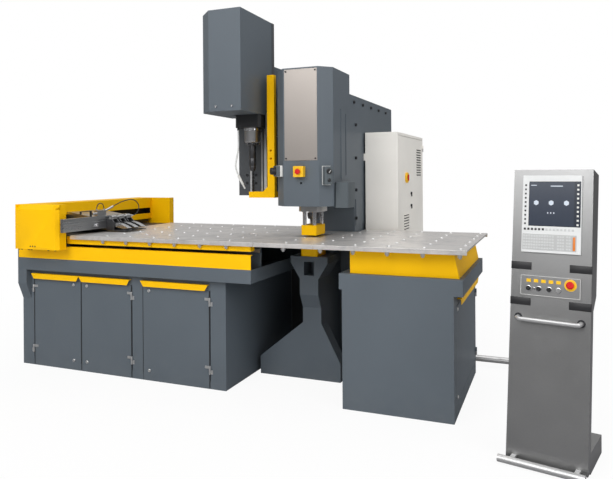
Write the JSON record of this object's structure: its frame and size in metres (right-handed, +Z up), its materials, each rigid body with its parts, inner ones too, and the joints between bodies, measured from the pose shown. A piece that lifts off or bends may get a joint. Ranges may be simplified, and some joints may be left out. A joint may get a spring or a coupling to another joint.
{
  "type": "cnc punching machine",
  "caption": "CNC punching machine: C-frame press with punch and die, drill unit, ball tables, feed beam with clamps, switch cabinet and a standing control console.",
  "frame": {"origin": "on the floor straight below the punch axis, in the underside of the press pedestal", "axes": "+X right along the operator's front, +Y to the back, +Z up"},
  "size_m": [4.4101, 2.7891, 2.81],
  "materials": {
    "slate_paint": "satin powder coat, slate grey",
    "yellow_paint": "satin paint, warm yellow",
    "pale_paint": "textured paint, light grey",
    "black_paint": "matt black",
    "stainless": "brushed stainless sheet",
    "table_steel": "ground plate",
    "machined_steel": "machined",
    "bright_steel": "hard chromed",
    "tool_steel": "blackened",
    "plate_aluminium": "brushed",
    "black_rubber": "matt",
    "white_hose": "satin",
    "red_plastic": "gloss",
    "yellow_plastic": "satin",
    "black_plastic": "matt",
    "grey_plastic": "satin"
  },
  "bodies": {
    "machine": {"press_frame": "slate_paint", "frame_side_covers": "slate_paint", "head_cover": "slate_paint", "head_nameplate": "plate_aluminium", "head_stop_box": "yellow_plastic", "head_junction_boxes": "grey_plastic", "press_cylinder": "machined_steel", "stripper_posts": "bright_steel", "stripper_block": "yellow_paint", "die_holder": "yellow_paint", "die": "tool_steel", "drill_column": "black_paint", "drill_housing": "slate_paint", "left_cabinet": "slate_paint", "left_tray": "slate_paint", "table_aprons": "yellow_paint", "door_lips": "yellow_paint", "hinge_barrels": "bright_steel", "table_plates": "table_steel", "ball_units": "bright_steel", "linear_rails": "bright_steel", "right_cabinet": "slate_paint", "control_cabinet": "pale_paint", "drive_rack": "grey_plastic", "hydraulic_pack": "black_paint", "console_body": "stainless", "console_screen": "grey_plastic", "console_bars": "bright_steel", "console_conduit": "machined_steel"},
    "ram": {"punch_ram": "bright_steel", "punch_tool": "tool_steel"},
    "drill_head": {"drill_carriage": "black_paint", "drill_spindle": "machined_steel", "coolant_hose": "white_hose", "coolant_nozzle": "machined_steel"},
    "drill_tool": {"drill_chuck": "tool_steel"},
    "presser": {"presser_arm": "yellow_paint"},
    "beam": {"feed_beam": "yellow_paint", "beam_saddles": "black_paint"},
    "clamps": {"clamp_carriage": "machined_steel", "clamp_bar": "machined_steel", "clamp_bodies": "tool_steel", "clamp_cylinders": "machined_steel", "clamp_hose_large": "black_rubber", "clamp_hose_small": "black_rubber"},
    "jaw_a": {"clamp_jaw_a": "bright_steel"},
    "jaw_b": {"clamp_jaw_b": "bright_steel"},
    "jaw_c": {"clamp_jaw_c": "bright_steel"},
    "door_a": {"left_door_a": "slate_paint"},
    "door_b": {"left_door_b": "slate_paint"},
    "door_c": {"left_door_c": "slate_paint"},
    "side_door": {"right_door": "slate_paint"},
    "switch_door": {"control_door": "pale_paint"},
    "main_switch_knob": {"main_switch": "red_plastic"},
    "head_stop": {"head_stop_button": "red_plastic"},
    "console_stop": {"console_stop_button": "red_plastic"},
    "console_start": {"console_start_button": "black_plastic"},
    "console_halt": {"console_halt_button": "black_plastic"},
    "console_mode": {"console_mode_switch": "black_plastic"},
    "console_key": {"console_key_switch": "machined_steel"}
  },
  "joints": [
    {"name": "ram_stroke", "type": "slide", "parent": "machine", "child": "ram", "axis": [0, 0, 1], "range_m": [-0.04, 0]},
    {"name": "drill_feed", "type": "slide", "parent": "machine", "child": "drill_head", "axis": [0, 0, 1], "range_m": [-0.35, 0]},
    {"name": "drill_spin", "type": "hinge", "parent": "drill_head", "child": "drill_tool", "pos_m": [-0.519, 0, 1.7], "axis": [0, 0, 1], "continuous": true},
    {"name": "presser_stroke", "type": "slide", "parent": "machine", "child": "presser", "axis": [0, 0, 1], "range_m": [-0.28, 0]},
    {"name": "beam_travel", "type": "slide", "parent": "machine", "child": "beam", "axis": [1, 0, 0], "range_m": [0, 1.25]},
    {"name": "clamp_travel", "type": "slide", "parent": "beam", "child": "clamps", "axis": [0, 1, 0], "range_m": [0, 0.75]},
    {"name": "jaw_a_pivot", "type": "hinge", "parent": "clamps", "child": "jaw_a", "pos_m": [-1.742, -0.186, 1.168], "axis": [0, -1, 0], "range_deg": [0, 12]},
    {"name": "jaw_b_pivot", "type": "hinge", "parent": "clamps", "child": "jaw_b", "pos_m": [-1.742, -0.091, 1.168], "axis": [0, -1, 0], "range_deg": [0, 12]},
    {"name": "jaw_c_pivot", "type": "hinge", "parent": "clamps", "child": "jaw_c", "pos_m": [-1.742, 0.004, 1.168], "axis": [0, -1, 0], "range_deg": [0, 12]},
    {"name": "door_a_hinge", "type": "hinge", "parent": "machine", "child": "door_a", "pos_m": [-2.315, -0.5143, 0.4], "axis": [0, 0, -1], "range_deg": [0, 110]},
    {"name": "door_b_hinge", "type": "hinge", "parent": "machine", "child": "door_b", "pos_m": [-1.32, -0.5143, 0.4], "axis": [0, 0, 1], "range_deg": [0, 110]},
    {"name": "door_c_hinge", "type": "hinge", "parent": "machine", "child": "door_c", "pos_m": [-0.622, -0.5143, 0.4], "axis": [0, 0, 1], "range_deg": [0, 110]},
    {"name": "side_door_hinge", "type": "hinge", "parent": "machine", "child": "side_door", "pos_m": [1.1533, 0.54, 0.4], "axis": [0, 0, 1], "range_deg": [0, 100]},
    {"name": "switch_door_hinge", "type": "hinge", "parent": "machine", "child": "switch_door", "pos_m": [0.5123, 1.692, 1.2], "axis": [0, 0, 1], "range_deg": [0, 110]},
    {"name": "main_switch_turn", "type": "hinge", "parent": "switch_door", "child": "main_switch_knob", "pos_m": [0.515, 0.985, 1.54], "axis": [1, 0, 0], "range_deg": [0, 90]},
    {"name": "head_stop_press", "type": "slide", "parent": "machine", "child": "head_stop", "axis": [0, 1, 0], "range_m": [0, 0.006]},
    {"name": "console_stop_press", "type": "slide", "parent": "machine", "child": "console_stop", "axis": [0.2231, 0.9663, -0.1288], "range_m": [0, 0.006]},
    {"name": "console_start_press", "type": "slide", "parent": "machine", "child": "console_start", "axis": [0.2231, 0.9663, -0.1288], "range_m": [0, 0.004], "stiffness_N_per_m": 400},
    {"name": "console_halt_press", "type": "slide", "parent": "machine", "child": "console_halt", "axis": [0.2231, 0.9663, -0.1288], "range_m": [0, 0.004], "stiffness_N_per_m": 400},
    {"name": "console_mode_turn", "type": "hinge", "parent": "machine", "child": "console_mode", "pos_m": [1.70576, -0.82476, 0.93248], "axis": [-0.2231, -0.9663, 0.1288], "range_deg": [-45, 45]},
    {"name": "console_key_turn", "type": "hinge", "parent": "machine", "child": "console_key", "pos_m": [1.75282, -0.83562, 0.93248], "axis": [-0.2231, -0.9663, 0.1288], "range_deg": [0, 90]}
  ]
}
